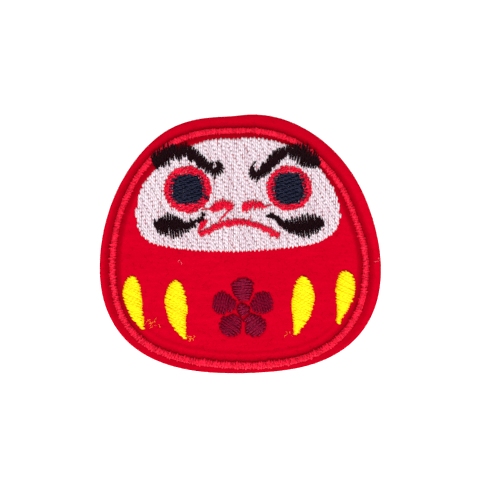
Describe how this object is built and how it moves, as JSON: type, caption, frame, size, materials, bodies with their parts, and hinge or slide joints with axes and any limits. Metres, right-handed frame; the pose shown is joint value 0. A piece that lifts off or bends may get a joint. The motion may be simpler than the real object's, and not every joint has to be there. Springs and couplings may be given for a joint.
{
  "type": "embroidered felt patch",
  "caption": "Flat red felt patch cut to a daruma doll's outline, with a satin-stitched border, white face, brows, ringed eyes, mouth, yellow stripes and a blossom, to iron or sew on.",
  "frame": {"origin": "middle of the back face, the underside that is ironed or sewn on", "axes": "+X to the viewer's right across the width, +Y towards the top of the doll's head, +Z out of the stitched face"},
  "size_m": [0.055, 0.0507, 0.0023],
  "materials": {
    "red_felt": "needled polyester felt, fine matt fuzz",
    "stabiliser": "thin non-woven backing",
    "hot_melt_film": "translucent milky hot-melt film",
    "bobbin_thread": "spun white bobbin thread",
    "thread_red": "trilobal polyester embroidery thread, bright sheen",
    "thread_white": "trilobal polyester embroidery thread, bright sheen",
    "thread_black": "trilobal polyester embroidery thread, bright sheen",
    "thread_navy": "trilobal polyester embroidery thread, bright sheen",
    "thread_yellow": "trilobal polyester embroidery thread, bright sheen",
    "thread_maroon": "trilobal polyester embroidery thread, bright sheen"
  },
  "bodies": {
    "root": {"felt_base": "red_felt", "stabiliser": "stabiliser", "adhesive_film": "hot_melt_film", "bobbin_thread": "bobbin_thread", "border_stitch": "thread_red", "face_fill": "thread_white", "brow_left": "thread_black", "brow_right": "thread_black", "eye_ring_left": "thread_red", "eye_ring_right": "thread_red", "pupil_left": "thread_navy", "pupil_right": "thread_navy", "nose_mark_left": "thread_red", "nose_mark_right": "thread_red", "mouth": "thread_red", "loose_threads": "thread_red", "cheek_mark_left": "thread_black", "cheek_mark_right": "thread_black", "stripe_outer_left": "thread_yellow", "stripe_inner_left": "thread_yellow", "stripe_inner_right": "thread_yellow", "stripe_outer_right": "thread_yellow", "blossom_eye": "thread_maroon", "blossom_petal_1": "thread_maroon", "blossom_petal_2": "thread_maroon", "blossom_petal_3": "thread_maroon", "blossom_petal_4": "thread_maroon", "blossom_petal_5": "thread_maroon"}
  },
  "joints": []
}
